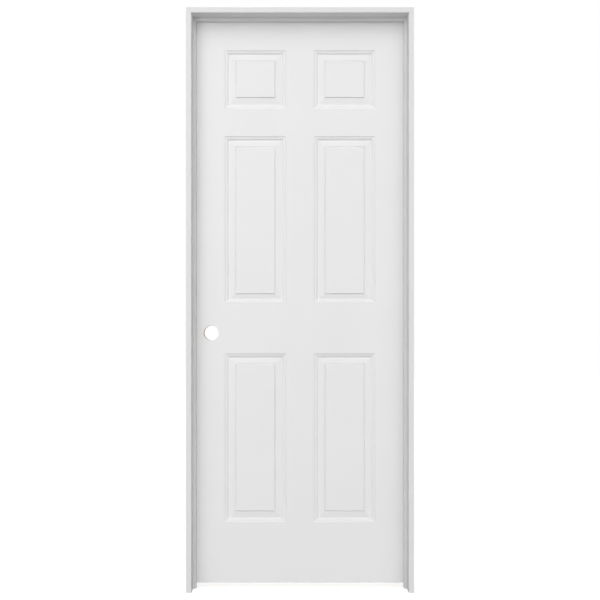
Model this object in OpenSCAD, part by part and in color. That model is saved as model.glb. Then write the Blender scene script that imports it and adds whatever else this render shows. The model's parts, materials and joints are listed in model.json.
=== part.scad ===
// Prehung interior door: a moulded six-panel hollow-core leaf on three butt hinges in its flat jamb.
// Millimetres. +Z is up, +X points to the hinge side, +Y to the side that the leaf opens to.
// The origin is on the floor line, in the middle of the unit's width and depth.

/* [Door leaf] */
// Width of the leaf
door_w = 762; // [660:1:914]
// Height of the leaf
door_h = 2032; // [1981:1:2134]
// Thickness of the leaf
door_t = 34.925; // [34:0.1:45]
// Bevel of the lock edge, in degrees
lock_bevel = 3; // [0:0.5:4]
// Thickness of the moulded skins
skin_t = 3.2; // [2.5:0.1:4]
// Width of the stiles between the skins
edge_stile_w = 30; // [26:1:33]
// Height of the end rails between the skins
end_rail_h = 32; // [25:1:60]
// Height of the lock block
lock_block_h = 300; // [150:1:500]

/* [Panel layout] */
// Flat stile beside the panels
stile_w = 108; // [100:1:130]
// Flat mullion between the panels
mullion_w = 99; // [80:1:120]
// Flat rail above the top panels
top_rail_h = 108; // [90:1:130]
// Height of the top panels
top_panel_h = 212; // [160:1:260]
// Flat rail below the top panels
frieze_rail_h = 98; // [80:1:120]
// Flat rail at lock height
lock_rail_h = 184; // [150:1:220]
// Height of the lower panels
lower_panel_h = 611; // [540:1:660]
// Flat rail below the lower panels
bottom_rail_h = 218; // [180:1:260]

/* [Panel moulding] */
// Width of the cove at the panel's edge
cove_w = 7; // [4:0.5:10]
// Depth of the cove
cove_d = 3; // [2:0.1:4]
// Width of the ogee that runs from the cove to the groove
ogee_w = 10.5; // [8:0.5:14]
// Depth of the groove
groove_d = 7.6; // [6:0.1:8.5]
// Width of the groove's floor
groove_w = 1.5; // [1:0.1:3]
// Width of the sloping bevel
bevel_w = 21; // [14:0.5:28]
// Height that the bevel climbs
bevel_rise = 4.2; // [2:0.1:5]
// Width of the riser between the bevel and the raised field
riser_w = 5.5; // [3:0.5:8]
// Depth of the raised field below the leaf's face
field_d = 0.5; // [0.2:0.1:1.5]

/* [Jamb] */
// Thickness of the jambs
jamb_t = 19.05; // [19:0.05:25]
// Depth of the jambs, through the wall
jamb_d = 115.9; // [95:0.1:170]
// Depth of the rabbet that holds the head in each leg
head_rabbet = 9.5; // [6:0.5:12]
// Radius of the eased edges
ease_r = 2; // [1:0.5:3]
// Gap between the leaf and each leg
side_gap = 3.2; // [2:0.1:4]
// Gap between the leaf and the head
head_gap = 3.2; // [2:0.1:6]
// Gap between the leaf and the floor
floor_gap = 15.9; // [6:0.1:30]

/* [Stop] */
// Width of the stop, through the wall
stop_w = 22.2; // [18:0.1:40]
// Thickness of the stop
stop_t = 11.1; // [9:0.1:14]
// Radius of the stop's rounded front edge
stop_round = 7.5; // [3:0.5:8.5]
// Gap between the stop and the closed leaf
stop_gap = 0.8; // [0.4:0.1:2]

/* [Hinges] */
// Height of each hinge
hinge_h = 88.9; // [76:0.1:102]
// Thickness of the hinge leaves
leaf_t = 2.2; // [1.8:0.1:2.6]
// Length of each hinge leaf that is let into the wood
leaf_embed = 30.2; // [26:0.1:30.5]
// Radius of the hinge leaves' corners
leaf_corner_r = 15.9; // [3:0.1:16]
// Distance of the pin's axis behind the leaf's rear face
pin_offset = 14.2; // [9:0.1:18]
// Diameter of the hinge pins
pin_d = 6.35; // [5:0.05:8]
// Height of a hinge pin's head
pin_head_h = 3.2; // [2:0.1:5]
// Distance of the top hinge below the top of the leaf
hinge_top_drop = 178; // [120:1:220]
// Distance of the bottom hinge above the bottom of the leaf
hinge_bottom_rise = 279; // [200:1:320]
// Distance of the end screws from the hinge's ends
screw_edge = 13.5; // [10:0.5:20]
// Distance of the end screws from the rear face
screw_near = 9.5; // [8:0.5:14]
// Distance of the middle screw from the rear face
screw_far = 21.5; // [16:0.5:24]
// Length of the hinge screws
screw_len = 18; // [12:0.5:18.5]
// Diameter of the screws' shanks
screw_d = 4.4; // [3.5:0.1:5]
// Diameter of the screws' heads
screw_head_d = 8.8; // [7.5:0.1:9.5]

/* [Lock preparation] */
// Diameter of the bore through the leaf
lock_bore_d = 53.975; // [50:0.025:57]
// Distance of the bore from the lock edge
backset = 60.325; // [60:0.025:70]
// Height of the bore above the bottom of the leaf
bore_h = 901.5; // [870:0.5:970]
// Diameter of the latch hole in the leaf's edge
latch_bore_d = 25.4; // [20:0.1:25.4]
// Diameter of the strike's hole through the jamb
strike_bore_d = 22.2; // [20:0.1:25]
// Height of the latch faceplate's mortise
faceplate_h = 57.15; // [50:0.05:60]
// Width of the latch faceplate's mortise
faceplate_w = 25.4; // [20:0.1:26]
// Depth of the latch faceplate's mortise
faceplate_t = 3.2; // [2:0.1:4]
// Height of the strike's mortise in the jamb
strike_h = 57.15; // [50:0.05:70]
// Width of the strike's mortise in the jamb
strike_w = 31; // [30:0.5:33]
// Depth of the strike's mortise
strike_t = 1.6; // [1:0.1:2.5]
// Corner radius of both mortises
mortise_r = 6.35; // [3:0.05:8]

/* [Head joint staples] */
// Width of a staple's crown
staple_crown = 11.1; // [8:0.1:14]
// Length of a staple's legs
staple_leg = 38; // [30:1:50]
// Thickness of the staple wire
staple_wire = 1.5; // [1:0.1:2]
// Distance of the outer staples from the jamb's edges
staple_inset = 20; // [14:1:30]

/* [Core] */
// Thickness of the honeycomb's card
card_t = 1.2; // [0.8:0.1:2]
// Number of rows of cells
core_rows = 18; // [10:1:24]
// Number of cells in a row
core_cells = 6; // [4:1:8]

/* [Hidden] */
$fn = 64;

// Clearances
over = 1;
gain_clear = 0.1;
pin_clear = 0.05;
knuckle_clear = 0.4;
knuckle_gap = 0.3;
screw_fit = 0.05;
core_clear = 0.3;

// Lap of the glued flats where two ribbons of the core meet
glue_lap = 0.2;

// Steps of the curves in the outlines
curve_steps = 5;

// Hinge geometry
knuckles = 5;
jamb_knuckles = [0, 2, 4];
door_knuckles = [1, 3];
knuckle_h = hinge_h / knuckles;
pin_r = pin_d / 2;
pin_hole_r = pin_r + pin_clear;
knuckle_r = pin_hole_r + leaf_t;
pin_head_r = knuckle_r - knuckle_clear;

// Overall sizes
inner_x = door_w / 2 + side_gap;
outer_x = inner_x + jamb_t;
leaf_z = floor_gap;
head_z = leaf_z + door_h + head_gap;
unit_h = head_z + jamb_t;
unit_d = jamb_d + pin_offset + knuckle_r;
front_y = -unit_d / 2;
rear_y = front_y + jamb_d;
leaf_front_y = rear_y - door_t;
leaf_mid_y = rear_y - door_t / 2;
stop_y = leaf_front_y - stop_gap - stop_w;
pin_x = door_w / 2 + side_gap / 2;
pin_y = rear_y + pin_offset;
bore_x = -door_w / 2 + backset;
bore_z = leaf_z + bore_h;

// Hinge heights
bottom_hinge_z = leaf_z + hinge_bottom_rise;
top_hinge_z = leaf_z + door_h - hinge_top_drop - hinge_h;
middle_hinge_z = (bottom_hinge_z + top_hinge_z) / 2;
hinge_zs = [bottom_hinge_z, middle_hinge_z, top_hinge_z];

// Panels: their left edges, and the bottom and height of each row
panel_w = (door_w - 2 * stile_w - mullion_w) / 2;
panel_xs = [-door_w / 2 + stile_w, mullion_w / 2];
fixed_rails_h = bottom_rail_h + lock_rail_h + frieze_rail_h + top_rail_h;
middle_panel_h = door_h - fixed_rails_h - lower_panel_h - top_panel_h;
lower_panel_z = leaf_z + bottom_rail_h;
middle_panel_z = lower_panel_z + lower_panel_h + lock_rail_h;
top_panel_z = middle_panel_z + middle_panel_h + frieze_rail_h;
panel_rows = [
    [lower_panel_z, lower_panel_h],
    [middle_panel_z, middle_panel_h],
    [top_panel_z, top_panel_h],
];

// Where the raised field's bevel starts, and where the field itself starts, from the panel's edge
bevel_from = cove_w + ogee_w + groove_w;
field_from = bevel_from + bevel_w + riser_w;
relief_over = skin_t + over;

// Frame between the skins
inner_front_y = leaf_front_y + skin_t;
inner_rear_y = rear_y - skin_t;
inner_t = inner_rear_y - inner_front_y;
stile_in_x = door_w / 2 - edge_stile_w;
rail_in_z = leaf_z + end_rail_h;
top_rail_z = leaf_z + door_h - end_rail_h;
lock_block_w = stile_w - edge_stile_w - core_clear;

// Honeycomb
core_w = 2 * (stile_in_x - core_clear);
core_z = rail_in_z + core_clear;
core_h = top_rail_z - core_clear - core_z;
core_row_h = (core_h - glue_lap) / core_rows;
ribbon_h = core_row_h + glue_lap;
core_cell_w = core_w / core_cells;

// Outline helpers

// Points of an arc round c, from angle a to angle b
function arc(c, r, a, b) =
    [for (i = [0 : curve_steps])
        let (turn = a + (b - a) * i / curve_steps)
            c + r * [cos(turn), sin(turn)]];

// Slow start, slow end
function ease(t) = t * t * (3 - 2 * t);

// Rectangle whose two corners at its low first coordinate are round
function tab_outline(low, high, bottom, top, r) = concat(
    arc([low + r, bottom + r], r, 270, 180),
    arc([low + r, top - r], r, 180, 90),
    [[high, top], [high, bottom]]
);

// Rectangle whose four corners are round
function slot_outline(w, h, r) = concat(
    arc([r - w / 2, r - h / 2], r, 270, 180),
    arc([r - w / 2, h / 2 - r], r, 180, 90),
    arc([w / 2 - r, h / 2 - r], r, 90, 0),
    arc([w / 2 - r, r - h / 2], r, 0, -90)
);

// A half outline, followed by its mirror image about the middle of the width w
function both_sides(half, w) =
    concat(half, [for (i = [len(half) - 1 : -1 : 0]) [w - half[i][0], half[i][1]]]);

// Cove and ogee from the face down to the groove: distance from the panel's edge, and depth
function sticking() = concat(
    [for (i = [0 : curve_steps]) [
        cove_w * (1 - cos(90 * i / curve_steps)),
        cove_d * sin(90 * i / curve_steps)
    ]],
    [for (i = [1 : curve_steps]) [
        cove_w + ogee_w * i / curve_steps,
        cove_d + (groove_d - cove_d) * ease(i / curve_steps)
    ]]
);

// Bevel and riser from the groove up to the raised field
function raising() = concat(
    [[bevel_from, groove_d]],
    [for (i = [0 : curve_steps]) [
        bevel_from + bevel_w + riser_w * i / curve_steps,
        groove_d - bevel_rise - (groove_d - bevel_rise - field_d) * ease(i / curve_steps)
    ]]
);

// Section of a panel's hollow, open above the face
function hollow_section(w) = both_sides(concat([[0, -relief_over]], sticking()), w);

// Section of a panel's raised field, closed below the groove
function field_section(w) = both_sides(concat([[bevel_from, groove_d + over]], raising()), w);

// X of the bevelled lock edge at a depth y
function lock_x(y) = -door_w / 2 + (rear_y - y) * tan(lock_bevel);

// Placing helpers

// Extrudes an outline of Y and Z along +X
module along_x(length) {
    rotate([90, 0, 90])
        linear_extrude(length)
            children();
}

module at_hinge(z) {
    translate([pin_x, pin_y, z])
        children();
}

// From the pin's axis to the exposed face of each hinge leaf, with +X into the wood
module jamb_side() {
    translate([side_gap / 2, 0, 0])
        children();
}

module door_side() {
    mirror([1, 0, 0])
        jamb_side()
            children();
}

module at_screws() {
    for (p = [[screw_near, screw_edge], [screw_far, hinge_h / 2], [screw_near, hinge_h - screw_edge]])
        translate([0, -pin_offset - p[0], p[1]])
            rotate([0, 90, 0])
                children();
}

// Jamb pieces

module leg_blank() {
    linear_extrude(unit_h)
        polygon(concat(
            [[outer_x, front_y], [outer_x, rear_y]],
            arc([inner_x + ease_r, rear_y - ease_r], ease_r, 90, 180),
            arc([inner_x + ease_r, front_y + ease_r], ease_r, 180, 270)
        ));
}

module head_seat() {
    translate([inner_x - over, front_y - over, head_z])
        cube([head_rabbet + over, jamb_d + 2 * over, jamb_t + over]);
}

// Staple along +X, with its crown's face at zero or standing proud of it
module staple(proud) {
    translate([0, -staple_crown / 2, -staple_wire / 2]) {
        translate([-proud, 0, 0])
            cube([staple_wire + proud, staple_crown, staple_wire]);
        for (y = [0, staple_crown - staple_wire])
            translate([0, y, 0])
                cube([staple_leg, staple_wire, staple_wire]);
    }
}

// Three staples, driven through the leg into the head's end
module corner_staples(proud = 0) {
    for (side = [-1, 0, 1])
        translate([outer_x, front_y + jamb_d / 2 + side * (jamb_d / 2 - staple_inset), head_z + jamb_t / 2])
            mirror([1, 0, 0])
                staple(proud);
}

module leg() {
    difference() {
        leg_blank();
        head_seat();
        corner_staples(over);
    }
}

// Hinge leaf's mortise and pilot holes, from the exposed face into the wood
module hinge_gain() {
    translate([-over, 0, 0])
        along_x(leaf_t + over)
            polygon(tab_outline(-pin_offset - leaf_embed - gain_clear, over - pin_offset,
                -gain_clear, hinge_h + gain_clear, leaf_corner_r));
    at_screws()
        cylinder(h = screw_len + screw_fit, d = screw_d + 2 * screw_fit);
}

module hinge_jamb() {
    color("whitesmoke")
        difference() {
            leg();
            for (z = hinge_zs)
                at_hinge(z)
                    jamb_side()
                        hinge_gain();
        }
}

module strike_jamb() {
    color("whitesmoke")
        difference() {
            mirror([1, 0, 0])
                leg();
            translate([-inner_x - strike_t, 0, bore_z])
                along_x(strike_t + over)
                    polygon(tab_outline(rear_y - strike_w, rear_y + over,
                        -strike_h / 2, strike_h / 2, mortise_r));
            translate([-outer_x - over, leaf_mid_y, bore_z])
                rotate([0, 90, 0])
                    cylinder(h = jamb_t + 2 * over, d = strike_bore_d);
        }
}

module head_jamb() {
    half = inner_x + head_rabbet;
    color("whitesmoke")
        difference() {
            translate([-half, 0, 0])
                along_x(2 * half)
                    polygon(concat(
                        [[rear_y, unit_h], [front_y, unit_h]],
                        arc([front_y + ease_r, head_z + ease_r], ease_r, 180, 270),
                        arc([rear_y - ease_r, head_z + ease_r], ease_r, 270, 360)
                    ));
            corner_staples();
            mirror([1, 0, 0])
                corner_staples();
        }
}

module head_joint_staples() {
    color("silver") {
        corner_staples();
        mirror([1, 0, 0])
            corner_staples();
    }
}

// Stop pieces: a section of depth and thickness, cut at 45 degrees where head and legs meet

stop_section = concat(
    [[0, 0]],
    arc([stop_round, stop_t - stop_round], stop_round, 180, 90),
    [[stop_w, stop_t], [stop_w, 0]]
);

module side_stop() {
    intersection() {
        linear_extrude(head_z)
            polygon([for (p = stop_section) [inner_x - p[1], stop_y + p[0]]]);
        translate([0, stop_y + stop_w + over, 0])
            rotate([90, 0, 0])
                linear_extrude(stop_w + 2 * over)
                    polygon([
                        [inner_x + over, -over],
                        [inner_x + over, head_z + over],
                        [inner_x - stop_t - over, head_z - stop_t - over],
                        [inner_x - stop_t - over, -over],
                    ]);
    }
}

module hinge_stop() {
    color("whitesmoke")
        side_stop();
}

module strike_stop() {
    color("whitesmoke")
        mirror([1, 0, 0])
            side_stop();
}

module head_stop() {
    low_x = inner_x - stop_t - over;
    color("whitesmoke")
        intersection() {
            translate([-inner_x, 0, 0])
                along_x(2 * inner_x)
                    polygon([for (p = stop_section) [stop_y + p[0], head_z - p[1]]]);
            translate([0, stop_y + stop_w + over, 0])
                rotate([90, 0, 0])
                    linear_extrude(stop_w + 2 * over)
                        polygon([
                            [-inner_x - over, head_z + over],
                            [inner_x + over, head_z + over],
                            [low_x, head_z - stop_t - over],
                            [-low_x, head_z - stop_t - over],
                        ]);
        }
}

// Hinge pieces

module knuckle_rings(indexes) {
    for (i = indexes) {
        bottom = i == 0 ? 0 : i * knuckle_h + knuckle_gap / 2;
        top = i == knuckles - 1 ? hinge_h : (i + 1) * knuckle_h - knuckle_gap / 2;
        translate([0, 0, bottom])
            cylinder(h = top - bottom, r = knuckle_r);
    }
}

// Room for the other leaf's knuckles
module knuckle_notches(indexes) {
    for (i = indexes) {
        bottom = i == 0 ? -over : i * knuckle_h - knuckle_gap / 2;
        top = i == knuckles - 1 ? hinge_h + over : (i + 1) * knuckle_h + knuckle_gap / 2;
        translate([0, 0, bottom])
            cylinder(h = top - bottom, r = knuckle_r + knuckle_clear);
    }
}

// Countersunk screw along +Z, with its head's face at zero
module screw_body() {
    rotate_extrude()
        polygon([
            [0, 0],
            [screw_head_d / 2, 0],
            [screw_d / 2, leaf_t],
            [screw_d / 2, screw_len - screw_d],
            [0, screw_len],
        ]);
}

module hinge_leaf(own, other) {
    difference() {
        union() {
            translate([side_gap / 2, 0, 0])
                along_x(leaf_t)
                    polygon(tab_outline(-pin_offset - leaf_embed, 0, 0, hinge_h, leaf_corner_r));
            knuckle_rings(own);
        }
        translate([0, 0, -over])
            cylinder(h = hinge_h + 2 * over, r = pin_hole_r);
        knuckle_notches(other);
        jamb_side()
            at_screws()
                rotate_extrude()
                    polygon([
                        [0, -over],
                        [screw_head_d / 2 + screw_fit, -over],
                        [screw_head_d / 2 + screw_fit, 0],
                        [screw_d / 2 + screw_fit, leaf_t],
                        [screw_d / 2 + screw_fit, leaf_t + over],
                        [0, leaf_t + over],
                    ]);
    }
}

module jamb_leaf(z) {
    color("silver")
        at_hinge(z)
            hinge_leaf(jamb_knuckles, door_knuckles);
}

module door_leaf(z) {
    color("silver")
        at_hinge(z)
            mirror([1, 0, 0])
                hinge_leaf(door_knuckles, jamb_knuckles);
}

// Cross-shaped recess for the driver
module driver_cross() {
    cross_w = screw_d / 4;
    for (turn = [0, 90])
        rotate([0, 0, turn])
            translate([-screw_d / 2, -cross_w / 2, -over])
                cube([screw_d, cross_w, over + cross_w]);
}

module screw() {
    difference() {
        screw_body();
        driver_cross();
    }
}

module jamb_screws(z) {
    color("silver")
        at_hinge(z)
            jamb_side()
                at_screws()
                    screw();
}

module door_screws(z) {
    color("silver")
        at_hinge(z)
            door_side()
                at_screws()
                    screw();
}

// Loose pin with a domed head that rests on the top knuckle
module hinge_pin(z) {
    dome_r = pin_head_h / 2;
    color("silver")
        at_hinge(z)
            rotate_extrude()
                polygon(concat(
                    [[0, 0], [pin_r, 0], [pin_r, hinge_h], [pin_head_r, hinge_h]],
                    arc([pin_head_r - dome_r, hinge_h + dome_r], dome_r, 0, 90),
                    [[0, hinge_h + pin_head_h]]
                ));
}

module top_hinge_jamb_leaf() { jamb_leaf(top_hinge_z); }
module middle_hinge_jamb_leaf() { jamb_leaf(middle_hinge_z); }
module bottom_hinge_jamb_leaf() { jamb_leaf(bottom_hinge_z); }
module top_hinge_pin() { hinge_pin(top_hinge_z); }
module middle_hinge_pin() { hinge_pin(middle_hinge_z); }
module bottom_hinge_pin() { hinge_pin(bottom_hinge_z); }
module top_hinge_jamb_screws() { jamb_screws(top_hinge_z); }
module middle_hinge_jamb_screws() { jamb_screws(middle_hinge_z); }
module bottom_hinge_jamb_screws() { jamb_screws(bottom_hinge_z); }
module top_hinge_door_leaf() { door_leaf(top_hinge_z); }
module middle_hinge_door_leaf() { door_leaf(middle_hinge_z); }
module bottom_hinge_door_leaf() { door_leaf(bottom_hinge_z); }
module top_hinge_door_screws() { door_screws(top_hinge_z); }
module middle_hinge_door_screws() { door_screws(middle_hinge_z); }
module bottom_hinge_door_screws() { door_screws(bottom_hinge_z); }

// Leaf pieces

// A layer of the leaf between two depths, from the bevelled lock edge to the hinge edge
module leaf_layer(near, far) {
    translate([0, 0, leaf_z])
        linear_extrude(door_h)
            polygon([[lock_x(near), near], [door_w / 2, near], [door_w / 2, far], [lock_x(far), far]]);
}

// The same section run both ways and intersected, so that its corners are true mitres
module mitred(w, h) {
    intersection() {
        linear_extrude(h)
            children(0);
        translate([w, 0, 0])
            rotate([0, -90, 0])
                linear_extrude(w)
                    children(1);
    }
}

// Hollow of one panel, with +Y into the leaf and a raised field left standing
module panel_relief(w, h) {
    difference() {
        mitred(w, h) {
            polygon(hollow_section(w));
            polygon(hollow_section(h));
        }
        mitred(w, h) {
            polygon(field_section(w));
            polygon(field_section(h));
        }
    }
}

module all_reliefs() {
    for (x = panel_xs, row = panel_rows)
        translate([x, 0, row[0]])
            panel_relief(panel_w, row[1]);
}

module front_face() {
    translate([0, leaf_front_y, 0])
        children();
}

module rear_face() {
    translate([0, rear_y, 0])
        mirror([0, 1, 0])
            children();
}

module lock_bore() {
    translate([bore_x, rear_y + over, bore_z])
        rotate([90, 0, 0])
            cylinder(h = door_t + 2 * over, d = lock_bore_d);
}

// Latch hole from the lock edge to the bore, and the faceplate's mortise square to the bevelled edge
module latch_cut() {
    translate([-door_w / 2 - over, leaf_mid_y, bore_z])
        rotate([0, 90, 0])
            cylinder(h = backset + over, d = latch_bore_d);
    translate([lock_x(leaf_mid_y), leaf_mid_y, bore_z])
        rotate([0, 0, lock_bevel])
            translate([-over, 0, 0])
                along_x(faceplate_t + over)
                    polygon(slot_outline(faceplate_w, faceplate_h, mortise_r));
}

module all_gains() {
    for (z = hinge_zs)
        at_hinge(z)
            door_side()
                hinge_gain();
}

module front_skin() {
    color("white")
        difference() {
            union() {
                leaf_layer(leaf_front_y, inner_front_y);
                front_face()
                    translate([0, skin_t, 0])
                        all_reliefs();
            }
            front_face()
                all_reliefs();
            lock_bore();
        }
}

module rear_skin() {
    color("white")
        difference() {
            union() {
                leaf_layer(inner_rear_y, rear_y);
                rear_face()
                    translate([0, skin_t, 0])
                        all_reliefs();
            }
            rear_face()
                all_reliefs();
            lock_bore();
            all_gains();
        }
}

module hinge_stile() {
    color("burlywood")
        difference() {
            translate([stile_in_x, inner_front_y, leaf_z])
                cube([edge_stile_w, inner_t, door_h]);
            all_gains();
        }
}

module lock_stile() {
    color("burlywood")
        difference() {
            translate([0, 0, leaf_z])
                linear_extrude(door_h)
                    polygon([
                        [lock_x(inner_front_y), inner_front_y],
                        [-stile_in_x, inner_front_y],
                        [-stile_in_x, inner_rear_y],
                        [lock_x(inner_rear_y), inner_rear_y],
                    ]);
            latch_cut();
            lock_bore();
        }
}

module end_rail(z) {
    color("burlywood")
        translate([-stile_in_x, inner_front_y, z])
            cube([2 * stile_in_x, inner_t, end_rail_h]);
}

module top_rail() { end_rail(top_rail_z); }
module bottom_rail() { end_rail(leaf_z); }

module lock_block() {
    color("tan")
        difference() {
            translate([-stile_in_x, inner_front_y, bore_z - lock_block_h / 2])
                cube([lock_block_w, inner_t, lock_block_h]);
            latch_cut();
            lock_bore();
        }
}

// Lower edge of one ribbon of card, which steps up and down across its row; its flats lap the next ribbon's
function ribbon_edge(up) = concat(
    [for (cell = [0 : core_cells - 1], p = [[0, 0], [1, 0], [3, 1], [5, 1], [7, 0]])
        [(cell + p[0] / 8) * core_cell_w, (up ? p[1] : 1 - p[1]) * (ribbon_h - card_t)]],
    [[core_w, up ? 0 : ribbon_h - card_t]]
);

module ribbon(up) {
    edge = ribbon_edge(up);
    linear_extrude(inner_t - 2 * core_clear)
        polygon(concat(edge, [for (i = [len(edge) - 1 : -1 : 0]) edge[i] + [0, card_t]]));
}

// Room for one moulded panel from the inside of a skin: shallow over the field, deep round it
module panel_room(w, h) {
    deep = groove_d + skin_t + core_clear;
    shallow = field_d + skin_t + core_clear;
    difference() {
        translate([-core_clear, 0, -core_clear])
            cube([w + 2 * core_clear, deep, h + 2 * core_clear]);
        translate([field_from + core_clear, shallow, field_from + core_clear])
            cube([w - 2 * (field_from + core_clear), deep, h - 2 * (field_from + core_clear)]);
    }
}

module all_panel_rooms() {
    for (x = panel_xs, row = panel_rows)
        translate([x, 0, row[0]])
            panel_room(panel_w, row[1]);
}

module honeycomb_core() {
    color("peru")
        difference() {
            for (row = [0 : core_rows - 1])
                translate([-core_w / 2, inner_rear_y - core_clear, core_z + row * core_row_h])
                    rotate([90, 0, 0])
                        ribbon(row % 2 == 0);
            front_face()
                all_panel_rooms();
            rear_face()
                all_panel_rooms();
            translate([-stile_in_x - over, inner_front_y - over, bore_z - lock_block_h / 2 - core_clear])
                cube([lock_block_w + core_clear + over, inner_t + 2 * over, lock_block_h + 2 * core_clear]);
        }
}

hinge_jamb();
strike_jamb();
head_jamb();
hinge_stop();
strike_stop();
head_stop();
head_joint_staples();
top_hinge_jamb_leaf();
middle_hinge_jamb_leaf();
bottom_hinge_jamb_leaf();
top_hinge_pin();
middle_hinge_pin();
bottom_hinge_pin();
top_hinge_jamb_screws();
middle_hinge_jamb_screws();
bottom_hinge_jamb_screws();
front_skin();
rear_skin();
hinge_stile();
lock_stile();
top_rail();
bottom_rail();
lock_block();
honeycomb_core();
top_hinge_door_leaf();
middle_hinge_door_leaf();
bottom_hinge_door_leaf();
top_hinge_door_screws();
middle_hinge_door_screws();
bottom_hinge_door_screws();
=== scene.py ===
"""Looks of a prehung interior door: moulded six-panel leaf, primed jamb, stops and butt hinges."""

import json
import math

import bmesh
import bpy
from bpy.props import FloatProperty, FloatVectorProperty, IntProperty, PointerProperty
from mathutils import Matrix, Vector


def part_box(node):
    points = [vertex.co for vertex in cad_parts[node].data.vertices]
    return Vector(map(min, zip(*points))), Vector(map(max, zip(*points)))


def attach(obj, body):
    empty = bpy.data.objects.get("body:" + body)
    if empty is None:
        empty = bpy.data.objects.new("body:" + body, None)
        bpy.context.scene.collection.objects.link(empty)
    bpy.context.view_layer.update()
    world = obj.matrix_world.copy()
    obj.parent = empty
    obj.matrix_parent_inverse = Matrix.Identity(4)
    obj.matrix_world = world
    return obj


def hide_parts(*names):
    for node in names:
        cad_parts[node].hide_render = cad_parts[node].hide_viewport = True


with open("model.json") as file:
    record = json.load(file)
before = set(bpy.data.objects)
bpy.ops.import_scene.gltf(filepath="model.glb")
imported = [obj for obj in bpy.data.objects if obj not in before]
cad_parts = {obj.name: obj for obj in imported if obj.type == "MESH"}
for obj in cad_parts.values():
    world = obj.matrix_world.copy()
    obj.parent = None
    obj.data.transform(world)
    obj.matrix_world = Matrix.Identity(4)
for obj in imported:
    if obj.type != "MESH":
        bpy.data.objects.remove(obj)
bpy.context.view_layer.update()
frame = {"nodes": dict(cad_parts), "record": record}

bl_info = {
    "name": "Prehung interior door",
    "version": (1, 0, 0),
    "blender": (4, 5, 0),
    "location": "View3D > Sidebar > Door",
    "description": "Dresses the packed solids of a prehung door and sets up its studio",
    "category": "Object",
}

HINGES = ("top", "middle", "bottom")
MOUNTS = {mount["name"]: mount for mount in frame["record"]["mounts"]}

# The leaf's faces and edges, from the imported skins
FRONT_LOW, FRONT_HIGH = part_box("front_skin")
REAR_LOW, REAR_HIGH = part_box("rear_skin")
LEAF_FRONT = FRONT_LOW.y
LEAF_REAR = REAR_HIGH.y
LEAF_LOCK_X = REAR_LOW.x
LEAF_HINGE_X = REAR_HIGH.x
LEAF_BOTTOM = REAR_LOW.z
LEAF_TOP = REAR_HIGH.z

# The strike's mortise in its jamb, and how far below a primed face the wood is bare
STRIKE_HALF_HEIGHT = 0.0286
STRIKE_REACH = 0.031
CUT_MARGIN = 0.0004

# How near corners are one corner, and how little faces turn where they are one flat
MERGE_DISTANCE = 1e-6
FLAT_TURN = math.radians(0.3)

# Facets at the corners of hinge leaves and mortises: their turns in degrees, their length, a limit to the
# corner's depth, and the steps of a round
FACET_TURNS = (8.8, 25.0)
FACET_LENGTH = 0.005
CORNER_DEPTH = 0.0045
ROUND_STEPS = 4

# Least X of the direction of an edge that runs along X
ALONG_X = 0.999

# Turn from which an edge is eased, and the steps of the ease
SHARP_TURN = math.radians(30.0)
EASE_STEPS = 2

# Axes that the wood's grain runs along
GRAIN_ACROSS = 0
GRAIN_UP = 2


# Settings that a user would change

def amount(label, description, default, **options):
    """A number, with options such as its unit."""
    return FloatProperty(name=label, description=description, default=default, **options)


def length(label, description, default):
    """A length in metres."""
    return amount(label, description, default, min=0.0, precision=5, unit="LENGTH", subtype="DISTANCE")


def share(label, description, default):
    """A share from 0 to 1."""
    return amount(label, description, default, min=0.0, max=1.0, subtype="FACTOR")


def colour(label, description, default):
    """A linear colour."""
    return FloatVectorProperty(
        name=label, description=description, default=default, min=0.0, max=1.0, size=3, subtype="COLOR")


class DoorLeafSizes(bpy.types.PropertyGroup):
    """Layout of the leaf and section of its panel moulding."""

    stile_width: length("Stile", "Flat stile beside the panels", 0.108)
    mullion_width: length("Mullion", "Flat mullion between the panels", 0.099)
    top_rail: length("Top rail", "Flat rail above the top panels", 0.108)
    top_panel: length("Top panels", "Height of the top panels", 0.212)
    frieze_rail: length("Frieze rail", "Flat rail below the top panels", 0.098)
    lock_rail: length("Lock rail", "Flat rail at lock height", 0.184)
    lower_panel: length("Lower panels", "Height of the lower panels", 0.611)
    bottom_rail: length("Bottom rail", "Flat rail below the lower panels", 0.218)
    step_width: length("Step width", "Width of the step at a panel's edge", 0.006)
    step_depth: length("Step depth", "Depth of the step", 0.0033)
    ledge_width: length("Ledge width", "Width of the ledge between step and ogee", 0.0018)
    ogee_width: length("Ogee width", "Width of the ogee between ledge and groove", 0.0085)
    groove_depth: length("Groove depth", "Depth of the groove", 0.0083)
    groove_width: length("Groove width", "Width of the groove's floor", 0.0015)
    bevel_width: length("Bevel width", "Width of the sloping bevel", 0.019)
    bevel_rise: length("Bevel rise", "Height that the bevel climbs", 0.0050)
    quirk_width: length("Quirk width", "Width of the quirk at the foot of the riser", 0.002)
    quirk_depth: length("Quirk depth", "Depth of the quirk below the bevel", 0.0024)
    riser_width: length("Riser width", "Width of the riser up to the raised field", 0.0042)
    field_depth: length("Field depth", "Depth of the raised field below the face", 0.0005)
    middle_foot: share("Middle foot", "Width of the middle panels' lower moulding, of the other sides'", 0.76)
    skin_thickness: length("Skin thickness", "Thickness of the moulded skins", 0.0032)
    arris: length("Arris", "Radius of the skins' edges", 0.0006)
    lock_bevel: amount(
        "Lock bevel", "Bevel of the lock edge", math.radians(3.0), unit="ROTATION", subtype="ANGLE")


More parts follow.
